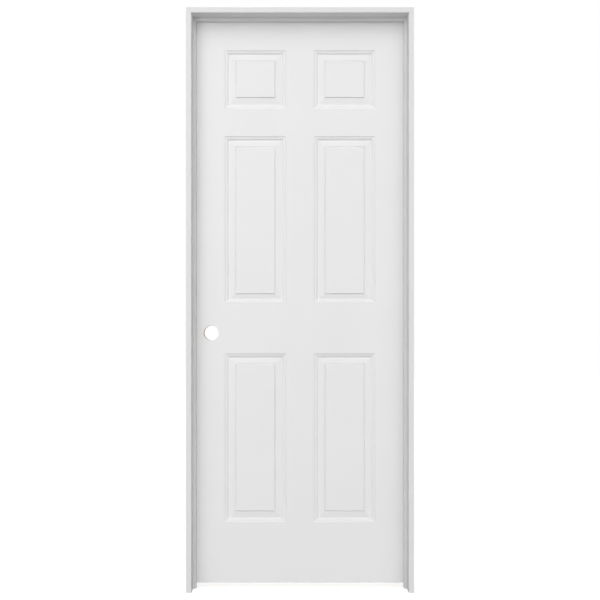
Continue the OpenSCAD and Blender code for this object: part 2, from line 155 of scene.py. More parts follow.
class DoorFittingSizes(bpy.types.PropertyGroup):
    """Stops, timber edges, hinges, screws and staples."""

    stop_round: length("Stop round", "Radius of the stop's front edge", 0.0075)
    stop_ease: length("Stop ease", "Radius of the stop's other edges", 0.0004)
    jamb_ease: length("Jamb ease", "Bevel of the jambs' sawn edges", 0.0005)
    timber_ease: length("Timber ease", "Bevel of the leaf timbers' sawn edges", 0.0003)
    leaf_thickness: length("Hinge leaf", "Thickness of the hinge leaves", 0.0022)
    gain_clearance: length("Gain clearance", "Room round a hinge leaf in its mortise", 0.0001)
    hinge_ease: length("Hinge ease", "Bevel of the hinge leaves' edges", 0.0002)
    pin_radius: length("Pin radius", "Radius of the hinge pins", 0.003175)
    pin_head: length("Pin head", "Height of a hinge pin's head", 0.0032)
    screw_head: length("Screw head", "Radius of the hinge screws' heads", 0.0044)
    screw_shank: length("Screw shank", "Radius of the hinge screws' shanks", 0.0022)
    staple_crown: length("Staple crown", "Width of a staple's crown", 0.0111)
    staple_grip: length("Staple grip", "Length of a staple's legs in the head jamb", 0.0285)
    staple_wire: length("Staple wire", "Thickness of the staple wire", 0.0015)
    seed: IntProperty(name="Seed", description="Seed of the screws' turns", default=7, min=0)


class DoorFinishes(bpy.types.PropertyGroup):
    """Colours and roughness of the finishes."""

    skin_paint: colour("Skin primer", "Primer on the moulded skins", (0.76, 0.76, 0.76))
    jamb_paint: colour("Jamb primer", "Primer on the jambs and stops", (0.70, 0.70, 0.70))
    stile_paint: colour("Edge primer", "Primer on the leaf's edges", (0.75, 0.75, 0.74))
    paint_roughness: share("Primer roughness", "Roughness of the primers", 0.62)
    pine: colour("Pine", "Early wood of the raw softwood", (0.62, 0.43, 0.23))
    pine_late: colour("Pine rings", "Late wood of the raw softwood", (0.42, 0.24, 0.10))
    card: colour("Card", "Kraft card of the core", (0.38, 0.24, 0.12))
    nickel: colour("Satin nickel", "Plating of the hinges and screws", (0.52, 0.49, 0.45))
    zinc: colour("Zinc", "Galvanising of the staples", (0.55, 0.56, 0.58))


class DoorStudio(bpy.types.PropertyGroup):
    """Camera, lamps and background."""

    camera_distance: length("Camera distance", "From the jamb's front edges to the lens", 3.652)
    camera_height: length("Camera height", "Height of the lens above the floor", 0.954)
    focal_length: amount("Focal length", "On a 36 mm sensor", 62.01, unit="CAMERA")
    camera_shift: amount("Camera shift", "Upward shift of the level camera", 0.0383)
    key_power: amount("Key", "Power of the soft key lamp", 11.2, unit="POWER")
    front_light: amount("Front light", "Strength of the broad light from the front", 1.96)
    front_rise: amount("Front rise", "Light from above the front, against the level light", 2.33)
    rear_light: amount("Rear light", "Strength of the low light from the rear", 2.0)
    floor_colour: colour("Floor", "Paint of the studio floor", (0.55, 0.55, 0.55))
    floor_lift: amount("Floor lift", "What the floor adds for the camera, so that it reads as white", 0.66)


# Node trees

def add(tree, kind, sockets=None, **settings):
    """Adds a node and gives its outputs; sockets maps inputs to values, outputs or lists of outputs."""
    node = tree.nodes.new(kind)
    for key, value in settings.items():
        setattr(node, key, value)
    for key, value in (sockets or {}).items():
        for each in value if isinstance(value, list) else [value]:
            if isinstance(each, bpy.types.NodeSocket):
                tree.links.new(each, node.inputs[key])
            else:
                node.inputs[key].default_value = each
    return node.outputs


def geo(tree, kind, sockets=None, **settings):
    """Adds a geometry node and gives its first output."""
    return add(tree, "GeometryNode" + kind, sockets, **settings)[0]


def calc(tree, operation, first, second=0.0):
    """A math node's result."""
    return add(tree, "ShaderNodeMath", {0: first, 1: second}, operation=operation)[0]


def product(tree, first, *others):
    """Several values multiplied together."""
    for other in others:
        first = calc(tree, "MULTIPLY", first, other)
    return first


def ramped(tree, value, low, high, start=0.0, end=1.0):
    """Maps a value from start..end to low..high."""
    return add(tree, "ShaderNodeMapRange", {
        "Value": value, "From Min": start, "From Max": end, "To Min": low, "To Max": high})[0]


def blended(tree, factor, first, second):
    """Mixes two linear colours."""
    # A colour mix's inputs 0, 6 and 7 are its factor and its colours, and its output 2 is the colour
    first, second = (
        end if isinstance(end, bpy.types.NodeSocket) else (*end, 1.0) for end in (first, second))
    return add(tree, "ShaderNodeMix", {0: factor, 6: first, 7: second}, data_type="RGBA")[2]


def vector(tree, **parts):
    """A vector from its X, Y and Z; a part left out is 0."""
    return add(tree, "ShaderNodeCombineXYZ", parts)[0]


def parts_of(tree, place):
    """X, Y and Z of a vector."""
    return add(tree, "ShaderNodeSeparateXYZ", {0: place})


# Finishes

def own_place(tree):
    """The piece's own coordinates."""
    return add(tree, "ShaderNodeTexCoord")["Object"]


def noise(tree, scale, stretch=(1.0, 1.0, 1.0), detail=2.0, distortion=0.0):
    """Noise on the piece's own coordinates, in cells per metre along each axis."""
    stretched = add(tree, "ShaderNodeMapping", {"Vector": own_place(tree), "Scale": stretch})[0]
    return add(tree, "ShaderNodeTexNoise", {
        "Vector": stretched, "Scale": scale, "Detail": detail, "Distortion": distortion})[0]


def grain(tree, axis, along, across, detail=2.0, distortion=0.0):
    """Noise that is drawn out along one axis (0, 1 or 2)."""
    stretch = tuple(along if i == axis else across for i in range(3))
    return noise(tree, 1.0, stretch, detail, distortion)


def shade(tone, by):
    """A colour made darker or lighter."""
    return tuple(min(1.0, part * by) for part in tone)


def new_finish(name):
    """A new material and its node tree, with a principled shader."""
    material = bpy.data.materials.new(name)
    material.use_nodes = True
    return material, material.node_tree


def dressed(material, base, roughness, bumps, specular=0.5, metallic=0.0):
    """Joins a finish to its material's shader; bumps lists the sockets of bump nodes in a chain."""
    tree = material.node_tree
    shader = tree.nodes["Principled BSDF"]
    tree.links.new(base, shader.inputs["Base Color"])
    tree.links.new(roughness, shader.inputs["Roughness"])
    below = {}
    for bump in bumps:
        below = {"Normal": add(tree, "ShaderNodeBump", {**bump, **below})[0]}
    tree.links.new(below["Normal"], shader.inputs["Normal"])
    shader.inputs["Specular IOR Level"].default_value = specular
    shader.inputs["Metallic"].default_value = metallic
    return material


def pine_tones(tree, finishes, axis):
    """Softwood with its rings along one axis: colour, fibre and ring bands."""
    ring_count, ring_edge = 5.0, 2.2
    rings = grain(tree, axis, along=1.2, across=95.0, detail=2.5, distortion=0.8)
    bands = calc(tree, "PINGPONG", product(tree, rings, ring_count), 1.0)
    fibre = grain(tree, axis, along=16.0, across=900.0)
    late = product(tree, calc(tree, "POWER", bands, ring_edge), ramped(tree, fibre, low=0.45, high=1.0))
    return blended(tree, late, finishes.pine, finishes.pine_late), fibre, bands


def primer(name, finishes, paint, axis=None, bare=None):
    """Sprayed white primer: faint orange peel and clouding, and the wood's grain along axis.

    bare is a function that gives 1 where the piece was cut after it was primed, and its pine shows.
    """
    material, tree = new_finish(name)
    base = blended(tree, noise(tree, scale=5.0, detail=3.0), shade(paint, by=0.965), paint)
    if bare is not None:
        base = blended(tree, bare(tree), base, pine_tones(tree, finishes, axis)[0])
    bumps = [dict(Height=noise(tree, scale=520.0, detail=1.0), Strength=0.10, Distance=0.00025)]
    if axis is not None:
        raised = grain(tree, axis, along=7.0, across=480.0, detail=3.0, distortion=0.4)
        bumps.append(dict(Height=raised, Strength=0.16, Distance=0.0003))
    mean = finishes.paint_roughness
    roughness = ramped(tree, noise(tree, scale=90.0), low=mean - 0.05, high=mean + 0.06)
    return dressed(material, base, roughness, bumps, specular=0.15)


def raw_pine(name, finishes, axis):
    """Planed softwood, with its rings along one axis."""
    material, tree = new_finish(name)
    tone, fibre, bands = pine_tones(tree, finishes, axis)
    bumps = [
        dict(Height=fibre, Strength=0.35, Distance=0.0004),
        dict(Height=bands, Strength=0.12, Distance=0.0003),
    ]
    return dressed(material, tone, ramped(tree, fibre, low=0.62, high=0.82), bumps, specular=0.3)


def kraft_card(card):
    """Brown kraft card, speckled with fibres."""
    material, tree = new_finish("kraft_card")
    fleck = noise(tree, scale=1400.0, detail=4.0)
    pulp = noise(tree, scale=130.0, detail=3.0)
    pulped = blended(tree, pulp, shade(card, by=0.7), shade(card, by=1.35))
    tone = blended(tree, ramped(tree, fleck, low=0.0, high=0.6), pulped, card)
    bumps = [dict(Height=fleck, Strength=0.3, Distance=0.0002)]
    return dressed(material, tone, ramped(tree, pulp, low=0.78, high=0.95), bumps)


def satin_nickel(name, nickel):
    """Brushed nickel plating, with the brush strokes running up the hinge."""
    material, tree = new_finish(name)
    strokes = grain(tree, GRAIN_UP, along=40.0, across=5200.0)
    streaks = calc(tree, "ADD", strokes, noise(tree, scale=60.0))
    worn = ramped(tree, streaks, low=0.0, high=1.0, start=0.7, end=1.3)
    tone = blended(tree, worn, shade(nickel, by=0.72), nickel)
    bumps = [dict(Height=strokes, Strength=0.12, Distance=0.00008)]
    return dressed(material, tone, ramped(tree, strokes, low=0.27, high=0.42), bumps, metallic=1.0)


def galvanised_wire(zinc):
    """Dull zinc on staple wire."""
    material, tree = new_finish("staple_zinc")
    spangle = noise(tree, scale=700.0)
    tone = blended(tree, spangle, shade(zinc, by=0.75), zinc)
    bumps = [dict(Height=spangle, Strength=0.1, Distance=0.0001)]
    return dressed(material, tone, ramped(tree, spangle, low=0.38, high=0.58), bumps, metallic=1.0)


# Making pieces

def link(name, mesh):
    """A new object at the origin, in the scene."""
    piece = bpy.data.objects.new(name, mesh)
    bpy.context.scene.collection.objects.link(piece)
    return piece


def settle(piece):
    """Makes the result of a piece's modifiers its own plain mesh."""
    graph = bpy.context.evaluated_depsgraph_get()
    mesh = bpy.data.meshes.new_from_object(piece.evaluated_get(graph), depsgraph=graph)
    if not mesh.polygons:
        raise RuntimeError(f"{piece.name} came out empty")
    piece.modifiers.clear()
    piece.data = mesh
    mesh.name = piece.name


def hand_over(piece, body, nodes):
    """Gives a finished piece, which must be closed, to its body, and hides the nodes it stands for."""
    shell = bmesh.new()
    shell.from_mesh(piece.data)
    closed = all(edge.is_manifold for edge in shell.edges)
    shell.free()
    if not closed:
        raise RuntimeError(f"{piece.name} isn't closed")
    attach(piece, body)
    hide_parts(*nodes)


def to_mesh(shell, name):
    """A plain mesh from a finished shell."""
    mesh = bpy.data.meshes.new(name)
    shell.to_mesh(mesh)
    shell.free()
    return mesh


def shade_smooth(mesh, sharp_from):
    """Shades a mesh smooth, apart from the edges that turn by more than an angle in degrees."""
    mesh.shade_smooth()
    mesh.set_sharp_from_angle(angle=math.radians(sharp_from))


def merged_copy(node):
    """A node's solid as one closed shell of large faces."""
    source = frame["nodes"][node].data
    solid = bmesh.new()
    corners = [solid.verts.new(vertex.co) for vertex in source.vertices]
    for face in source.polygons:
        solid.faces.new([corners[i] for i in face.vertices])
    bmesh.ops.remove_doubles(solid, verts=solid.verts, dist=MERGE_DISTANCE)
    bmesh.ops.dissolve_degenerate(solid, edges=solid.edges, dist=MERGE_DISTANCE)
    bmesh.ops.dissolve_limit(solid, angle_limit=FLAT_TURN, verts=solid.verts, edges=solid.edges)
    return solid


def round_corners(solid):
    """Makes true rounds of the corners of hinge plates and mortises, which come with a few facets each."""
    least, most = FACET_TURNS
    facets = []
    for edge in solid.edges:
        along = (edge.verts[1].co - edge.verts[0].co).normalized()
        turn = math.degrees(edge.calc_face_angle(0.0))
        if abs(along.x) > ALONG_X and least < turn < most and edge.calc_length() < CORNER_DEPTH:
            facets.append(edge)
    if facets:
        bmesh.ops.bevel(
            solid, geom=facets, offset=FACET_LENGTH / 2.0, segments=ROUND_STEPS, profile=0.5,
            affect="EDGES", clamp_overlap=True)


def eased_copy(node, name, width, material):
    """A node's solid with its sharp edges eased, as a piece of its own."""
    solid = merged_copy(node)
    round_corners(solid)
    for face in solid.faces:
        face.smooth = True
    mesh = to_mesh(solid, name)
    mesh.materials.append(material)
    piece = link(name, mesh)
    bevel = piece.modifiers.new("Ease", "BEVEL")
    bevel.width = width
    bevel.segments = EASE_STEPS
    bevel.limit_method = "ANGLE"
    bevel.angle_limit = SHARP_TURN
    bevel.harden_normals = True
    settle(piece)
    return piece


# Pieces that node trees make

SOCKET_KINDS = {"Seed": "NodeSocketInt", "Material": "NodeSocketMaterial"}

# Turns in degrees from which edges stay sharp
STOP_SHARP, FASTENER_SHARP = 40.0, 32.0


def new_tree(name, *labels):
    """A tree with geometry in and out, named inputs and a material; returns it, its keys and its inputs."""
    tree = bpy.data.node_groups.new(name, "GeometryNodeTree")
    tree.is_modifier = True
    new_socket = tree.interface.new_socket
    new_socket("Geometry", in_out="INPUT", socket_type="NodeSocketGeometry")
    keys = {}
    for label in (*labels, "Material"):
        kind = SOCKET_KINDS.get(label, "NodeSocketFloat")
        keys[label] = new_socket(label, in_out="INPUT", socket_type=kind).identifier
    new_socket("Geometry", in_out="OUTPUT", socket_type="NodeSocketGeometry")
    return tree, keys, add(tree, "NodeGroupInput")


def end_tree(tree, given, shape, turn=None):
    """Puts a shape with a turn on the input's points, and hands it out real and with its material."""
    if turn is not None:
        points = geo(tree, "MeshToPoints", {"Mesh": given["Geometry"]})
        shape = geo(tree, "InstanceOnPoints", {"Points": points, "Instance": shape, "Rotation": turn})
    real = geo(tree, "RealizeInstances", {0: shape})
    finished = geo(tree, "SetMaterial", {"Geometry": real, "Material": given["Material"]})
    add(tree, "NodeGroupOutput", {0: finished})


def grown(name, tree, keys, sharp_from, values, points=()):
    """A piece that a node tree makes, on points if it takes any, as a plain mesh."""
    mesh = bpy.data.meshes.new(name)
    mesh.from_pydata(points, [], [])
    piece = link(name, mesh)
    modifier = piece.modifiers.new("Tree", "NODES")
    modifier.node_group = tree
    for label, value in values.items():
        modifier[keys[label]] = value
    settle(piece)
    shade_smooth(piece.data, sharp_from)
    return piece


# Skins

def smooth_step(t):
    """Slow start, slow end."""
    return t * t * (3.0 - 2.0 * t)


def moulding_section(sizes, steps):
    """Distance from the panel's edge and depth, from the face down and up to the raised field."""
    shares = [i / steps for i in range(steps + 1)]
    ledge_to = sizes.step_width + sizes.ledge_width
    fall = sizes.groove_depth - sizes.step_depth
    bevel_from = ledge_to + sizes.ogee_width + sizes.groove_width
    bevel_to = bevel_from + sizes.bevel_width
    bevel_top = sizes.groove_depth - sizes.bevel_rise
    riser_from = bevel_to + sizes.quirk_width
    foot = bevel_top + sizes.quirk_depth
    climb = foot - sizes.field_depth
    points = [(sizes.step_width * t, sizes.step_depth * smooth_step(t)) for t in shares]
    points += [(ledge_to + sizes.ogee_width * t, sizes.step_depth + fall * smooth_step(t)) for t in shares]
    points += [(bevel_from, sizes.groove_depth), (bevel_to, bevel_top)]
    points += [(riser_from + sizes.riser_width * t, foot - climb * smooth_step(t)) for t in shares]
    return points


def panel_rects(sizes):
    """Left, right, bottom and top of each panel, and its lower moulding's share of the width."""
    width = (LEAF_HINGE_X - LEAF_LOCK_X - 2.0 * sizes.stile_width - sizes.mullion_width) / 2.0
    lefts = (LEAF_LOCK_X + sizes.stile_width, LEAF_HINGE_X - sizes.stile_width - width)
    lower = LEAF_BOTTOM + sizes.bottom_rail
    middle = lower + sizes.lower_panel + sizes.lock_rail
    upper = LEAF_TOP - sizes.top_rail - sizes.top_panel
    rows = (
        (lower, lower + sizes.lower_panel, 1.0),
        (middle, upper - sizes.frieze_rail, sizes.middle_foot),
        (upper, LEAF_TOP - sizes.top_rail, 1.0),
    )
    return [(left, left + width, *row) for left in lefts for row in rows]


class SkinMaker:
    """Builds one moulded skin as a closed shell; depth runs from the leaf's face inwards."""

    BORE_SIDES = 96
    ARRIS_STEPS = 4
    FACE_STEPS = 14
    BACK_STEPS = 5

    def __init__(self, sizes, face_y, inward, notches, notch_depth):
        self.shell = bmesh.new()
        self.sizes = sizes
        self.face_y = face_y
        self.inward = inward
        self.notches = notches
        self.notch_depth = notch_depth
        self.mitres = []

    def ring(self, points, depth):
        """New corners at points of X and Z."""
        y = self.face_y + self.inward * depth
        return [self.shell.verts.new((x, y, z)) for x, z in points]

    def bridge(self, first, second, mitred=False):
        """Faces between two rings; mitred ones keep their corners sharp."""
        count = len(first)
        for i in range(count):
            j = (i + 1) % count
            self.shell.faces.new((first[i], first[j], second[j], second[i]))
            if mitred:
                self.mitres.append((first[i], second[i]))

    def outline(self, depth, inset):
        """The leaf's edge at a depth, moved inwards; hinge gains are notches in it."""
        y = self.face_y + self.inward * depth
        lock = LEAF_LOCK_X + (LEAF_REAR - y) * math.tan(self.sizes.lock_bevel) + inset
        hinge = LEAF_HINGE_X - inset
        points = [(lock, LEAF_BOTTOM + inset), (hinge, LEAF_BOTTOM + inset)]
        for low, high in self.notches:
            deep = hinge - self.notch_depth
            points += [(hinge, low - inset), (deep, low - inset), (deep, high + inset), (hinge, high + inset)]
        return points + [(hinge, LEAF_TOP - inset), (lock, LEAF_TOP - inset)]

    def bore(self, depth, inset):
        """The lock bore's edge, widened by the inset at any depth."""
        x, _, z = MOUNTS["lock_bore"]["pos_m"]
        radius = MOUNTS["lock_bore"]["dims"]["r_mm"] / 1000.0 + inset
        turns = [math.tau * i / self.BORE_SIDES for i in range(self.BORE_SIDES)]
        return [(x + radius * math.cos(turn), z + radius * math.sin(turn)) for turn in turns]

    def panel(self, rect, section):
        """Rings of one panel, closed by its raised field; returns the outermost ring."""
        left, right, bottom, top, foot = rect
        rings = []
        for inset, depth in section:
            low, high = (left + inset, bottom + inset * foot), (right - inset, top - inset)
            rings.append(self.ring([low, (high[0], low[1]), high, (low[0], high[1])], depth))
        for first, second in zip(rings, rings[1:]):
            self.bridge(first, second, mitred=True)
        self.shell.faces.new(rings[-1])
        return rings[0]

    def flat(self, loops):
        """Fills the face between the leaf's edge, the bore and the panels."""
        edges = [
            self.shell.edges.get((vertex, loop[(i + 1) % len(loop)]))
            for loop in loops for i, vertex in enumerate(loop)]
        bmesh.ops.triangle_fill(
            self.shell, use_beauty=True, edges=edges, normal=(0.0, -self.inward, 0.0))

    def rounded(self, at):
        """Rings from a face's edge over its arris to the skin's back; at gives points by depth and inset."""
        arris = self.sizes.arris
        rings = []
        for i in range(self.ARRIS_STEPS + 1):
            turn = math.radians(90.0) * i / self.ARRIS_STEPS
            depth = arris - arris * math.cos(turn)
            rings.append(self.ring(at(depth, arris - arris * math.sin(turn)), depth))
        back = self.sizes.skin_thickness
        rings.append(self.ring(at(back, 0.0), back))
        for first, second in zip(rings, rings[1:]):
            self.bridge(first, second)
        return rings[0], rings[-1]

    def build(self, name):
        """The finished skin's mesh."""
        sizes = self.sizes
        outer, outer_back = self.rounded(self.outline)
        hole, hole_back = self.rounded(self.bore)
        fine = moulding_section(sizes, self.FACE_STEPS)
        # The back follows the face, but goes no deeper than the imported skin
        deepest = FRONT_HIGH.y - FRONT_LOW.y
        coarse = [
            (inset, min(depth + sizes.skin_thickness, deepest))
            for inset, depth in moulding_section(sizes, self.BACK_STEPS)]
        face_loops = [outer, hole]
        back_loops = [outer_back, hole_back]
        for rect in panel_rects(sizes):
            face_loops.append(self.panel(rect, fine))
            back_loops.append(self.panel(rect, coarse))
        self.flat(face_loops)
        self.flat(back_loops)
        bmesh.ops.recalc_face_normals(self.shell, faces=self.shell.faces)
        for face in self.shell.faces:
            face.smooth = True
        for mitre in self.mitres:
            self.shell.edges.get(mitre).smooth = False
        return to_mesh(self.shell, name)


class DOOR_OT_skins(bpy.types.Operator):
    """Make the moulded front and rear skins"""

    bl_idname = "door.skins"
    bl_label = "Moulded skins"

    def execute(self, context):
        sizes = context.scene.door_leaf
        fittings = context.scene.door_fittings
        finishes = context.scene.door_finishes
        paint = primer("skin_primer", finishes, finishes.skin_paint)
        gap = fittings.gain_clearance
        gains = []
        for hinge in reversed(HINGES):
            low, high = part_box(f"{hinge}_hinge_door_leaf")
            gains.append((low.z - gap, high.z + gap))
        for node, face_y, inward, notches in (
            ("front_skin", LEAF_FRONT, 1.0, []),
            ("rear_skin", LEAF_REAR, -1.0, gains),
        ):
            name = f"moulded_{node}"
            mesh = SkinMaker(sizes, face_y, inward, notches, fittings.leaf_thickness).build(name)
            mesh.materials.append(paint)
            skin = link(name, mesh)
            normals = skin.modifiers.new("Flat faces", "WEIGHTED_NORMAL")
            normals.keep_sharp = True
            settle(skin)
            hand_over(skin, "door", [node])
        return {"FINISHED"}


# Jambs

def in_strike_mortise(tree):
    """1 in the mortise and bore for the strike, which are cut into the primed jamb."""
    low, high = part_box("strike_jamb")
    _, _, middle = MOUNTS["strike_bore"]["pos_m"]
    x, y, z = parts_of(tree, own_place(tree))
    off_middle = calc(tree, "ABSOLUTE", calc(tree, "SUBTRACT", z, middle))
    return product(
        tree,
        calc(tree, "LESS_THAN", x, high.x - CUT_MARGIN),
        calc(tree, "GREATER_THAN", x, low.x + CUT_MARGIN),
        calc(tree, "LESS_THAN", y, high.y - CUT_MARGIN),
        calc(tree, "GREATER_THAN", y, high.y - STRIKE_REACH - CUT_MARGIN),
        calc(tree, "LESS_THAN", off_middle, STRIKE_HALF_HEIGHT + CUT_MARGIN))


class DOOR_OT_jambs(bpy.types.Operator):
    """Make the hinge, strike and head jambs"""

    bl_idname = "door.jambs"
    bl_label = "Jambs"

    def execute(self, context):
        finishes = context.scene.door_finishes
        for node, label, axis, bare in (
            ("hinge_jamb", "upright", GRAIN_UP, None),
            ("strike_jamb", "cut", GRAIN_UP, in_strike_mortise),
            ("head_jamb", "across", GRAIN_ACROSS, None),
        ):
            paint = primer(f"jamb_primer_{label}", finishes, finishes.jamb_paint, axis, bare)
            jamb = eased_copy(node, f"primed_{node}", context.scene.door_fittings.jamb_ease, paint)
            hand_over(jamb, "frame", [node])
        return {"FINISHED"}


# Stops

def stop_tree():
    """One run of stop: its section, drawn out to a length and mitred at either end."""
    round_steps = 10
    tree, keys, given = new_tree(
        "stop_run", "Length", "Width", "Thickness", "Round", "Ease", "Low Mitre", "High Mitre")
    section = geo(tree, "CurvePrimitiveQuadrilateral", {
        "Width": given["Width"], "Height": given["Thickness"]})
    x, y, z = parts_of(tree, geo(tree, "InputPosition"))
    at_front = calc(tree, "LESS_THAN", x, 0.0)
    off_jamb = calc(tree, "GREATER_THAN", y, 0.0)
    radius = ramped(tree, product(tree, at_front, off_jamb), given["Ease"], given["Round"])
    filleted = geo(tree, "FilletCurve", {
        "Curve": section, "Radius": radius, "Count": round_steps}, mode="POLY")
    face = geo(tree, "FillCurve", {"Curve": filleted}, mode="NGONS")
    drawn = geo(tree, "ExtrudeMesh", {
        "Mesh": face, "Offset": (0.0, 0.0, 1.0), "Offset Scale": given["Length"], "Individual": False})
    base = geo(tree, "FlipFaces", {"Mesh": face})
    both = geo(tree, "JoinGeometry", {0: [base, drawn]})
    closed = geo(tree, "MergeByDistance", {"Geometry": both, "Distance": MERGE_DISTANCE})
    height = calc(tree, "ADD", y, product(tree, given["Thickness"], 0.5))
    at_top = calc(tree, "GREATER_THAN", z, product(tree, given["Length"], 0.5))
    at_base = calc(tree, "SUBTRACT", 1.0, at_top)
    push = calc(
        tree, "SUBTRACT",
        product(tree, at_base, given["Low Mitre"]), product(tree, at_top, given["High Mitre"]))
    slide = vector(tree, Z=product(tree, push, height))
    end_tree(tree, given, geo(tree, "SetPosition", {"Geometry": closed, "Offset": slide}))
    return tree, keys


class DOOR_OT_stops(bpy.types.Operator):
    """Make the mitred stops on the jambs"""

    bl_idname = "door.stops"
    bl_label = "Stops"

    def execute(self, context):
        sizes = context.scene.door_fittings
        finishes = context.scene.door_finishes
        tree, keys = stop_tree()
        upright = primer("stop_primer_upright", finishes, finishes.jamb_paint, GRAIN_UP)
        across = primer("stop_primer_across", finishes, finishes.jamb_paint, GRAIN_ACROSS)
        # Each run's own X goes to the rear and its Y away from the jamb; its Z is the run
        rear, left, right, up, down = (
            Vector(v) for v in ((0, 1, 0), (-1, 0, 0), (1, 0, 0), (0, 0, 1), (0, 0, -1)))
        for node, off_jamb, along, low_mitre, high_mitre, paint in (
            ("hinge_stop", left, up, 0.0, 1.0, upright),
            ("strike_stop", right, down, 1.0, 0.0, upright),
            ("head_stop", down, left, 1.0, 1.0, across),
        ):
            low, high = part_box(node)
            size = high - low
            run = abs(size.dot(along))
            start = (low + high - along * run) / 2.0
            stop = grown(f"primed_{node}", tree, keys, STOP_SHARP, {
                "Length": run, "Width": size.y, "Thickness": abs(size.dot(off_jamb)),
                "Round": sizes.stop_round, "Ease": sizes.stop_ease,
                "Low Mitre": low_mitre, "High Mitre": high_mitre, "Material": paint,
            })
            turn = Matrix((rear, off_jamb, along)).transposed().to_4x4()
            stop.data.transform(Matrix.Translation(start) @ turn)
            hand_over(stop, "frame", [node])
        return {"FINISHED"}


# Inside the leaf

def inside_lock_edge(tree):
    """1 below the bevelled face of the lock edge: in the latch's mortise and bore, and on the ends."""
    slope = math.tan(bpy.context.scene.door_leaf.lock_bevel)
    x, y, _ = parts_of(tree, own_place(tree))
    set_back = product(tree, calc(tree, "SUBTRACT", LEAF_REAR, y), slope)
    depth = calc(tree, "SUBTRACT", calc(tree, "SUBTRACT", x, LEAF_LOCK_X), set_back)
    return calc(tree, "GREATER_THAN", depth, CUT_MARGIN)


def inside_hinge_edge(tree):
    """1 below the face of the hinge edge: in the hinges' gains and on the ends."""
    return calc(tree, "LESS_THAN", parts_of(tree, own_place(tree))[0], LEAF_HINGE_X - CUT_MARGIN)


class DOOR_OT_leaf_frame(bpy.types.Operator):
    """Make the stiles, rails and lock block between the skins"""

    bl_idname = "door.leaf_frame"
    bl_label = "Stiles, rails and lock block"

    def execute(self, context):
        finishes = context.scene.door_finishes
        ease = context.scene.door_fittings.timber_ease
        hinge_edge, lock_edge = (
            primer(f"{side}_edge_primer", finishes, finishes.stile_paint, GRAIN_UP, bare)
            for side, bare in (("hinge", inside_hinge_edge), ("lock", inside_lock_edge)))
        across = raw_pine("raw_pine_across", finishes, GRAIN_ACROSS)
        upright = raw_pine("raw_pine_upright", finishes, GRAIN_UP)
        for node, slot, finish in (
            ("hinge_stile", "primed_stile", hinge_edge), ("lock_stile", "primed_stile", lock_edge),
            ("top_rail", "raw_softwood", across), ("bottom_rail", "raw_softwood", across),
            ("lock_block", "raw_softwood", upright),
        ):
            timber = eased_copy(node, f"timber_{node}", ease, finish)
            hand_over(timber, "door", [node])
        return {"FINISHED"}


class DOOR_OT_core(bpy.types.Operator):
    """Finish the honeycomb core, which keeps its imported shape"""

    bl_idname = "door.core"
    bl_label = "Honeycomb core"

    def execute(self, context):
        materials = frame["nodes"]["honeycomb_core"].data.materials
        materials.clear()
        materials.append(kraft_card(context.scene.door_finishes.card))
        return {"FINISHED"}


# Hinges

class DOOR_OT_hinge_leaves(bpy.types.Operator):
    """Make the leaves of the butt hinges"""

    bl_idname = "door.hinge_leaves"
    bl_label = "Hinge leaves"

    def execute(self, context):
        plating = satin_nickel("hinge_nickel", context.scene.door_finishes.nickel)
        ease = context.scene.door_fittings.hinge_ease
        for hinge in HINGES:
            for side, body in (("jamb", "frame"), ("door", "door")):
                node = f"{hinge}_hinge_{side}_leaf"
                leaf = eased_copy(node, f"nickel_{node}", ease, plating)
                hand_over(leaf, body, [node])
        return {"FINISHED"}


def lathe(name, section, sides):
    """A closed turned mesh from (radius, height) points; the first and last lie on the axis."""
    shell = bmesh.new()
    turns = [math.tau * i / sides for i in range(sides)]
    rows = []
    for radius, height in section:
        spokes = turns if radius else [0.0]
        rows.append([
            shell.verts.new((radius * math.cos(turn), radius * math.sin(turn), height)) for turn in spokes])
    for low, high in zip(rows, rows[1:]):
        for i in range(sides):
            j = (i + 1) % sides
            corners = [low[i % len(low)], low[j % len(low)], high[j % len(high)], high[i % len(high)]]
            shell.faces.new(list(dict.fromkeys(corners)))
    bmesh.ops.recalc_face_normals(shell, faces=shell.faces)
    return to_mesh(shell, name)


class DOOR_OT_hinge_pins(bpy.types.Operator):
    """Make the loose pins of the hinges"""

    bl_idname = "door.hinge_pins"
    bl_label = "Hinge pins"

    SIDES = 48
    DOME_STEPS = 9
    # Chamfer of the tip, as a share of the pin's radius
    TIP_CHAMFER = 0.25
    # The head's rim, and the dome's foot on it, as shares of the head's radius and height
    RIM = ((0.94, 0.0), (1.0, 0.08), (1.0, 0.30), (0.94, 0.38))
    DOME_EDGE = 0.92

    def execute(self, context):
        sizes = context.scene.door_fittings
        plating = satin_nickel("pin_nickel", context.scene.door_finishes.nickel)
        for hinge in HINGES:
            node = f"{hinge}_hinge_pin"
            low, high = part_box(node)
            mesh = lathe(f"nickel_{node}", self.section(sizes, low, high), self.SIDES)
            mesh.transform(Matrix.Translation(((low.x + high.x) / 2.0, (low.y + high.y) / 2.0, low.z)))
            shade_smooth(mesh, sharp_from=35.0)
            mesh.materials.append(plating)
            pin = link(f"nickel_{node}", mesh)
            hand_over(pin, "frame", [node])
        return {"FINISHED"}

    def section(self, sizes, low, high):
        """Radius and height from the pin's tip to the top of its domed head."""
        radius = sizes.pin_radius
        chamfer = radius * self.TIP_CHAMFER
        rim = (high.x - low.x) / 2.0
        tall = sizes.pin_head
        shank = high.z - low.z - tall
        points = [(0.0, 0.0), (radius - chamfer, 0.0), (radius, chamfer), (radius, shank)]
        points += [(rim * wide, shank + tall * rise) for wide, rise in self.RIM]
        foot = tall * self.RIM[-1][1]
        for i in range(self.DOME_STEPS):
            turn = math.radians(90.0) * i / self.DOME_STEPS
            height = shank + foot + (tall - foot) * math.sin(turn)
            points.append((rim * self.DOME_EDGE * math.cos(turn), height))
        return points + [(0.0, shank + tall)]


# Screws and staples

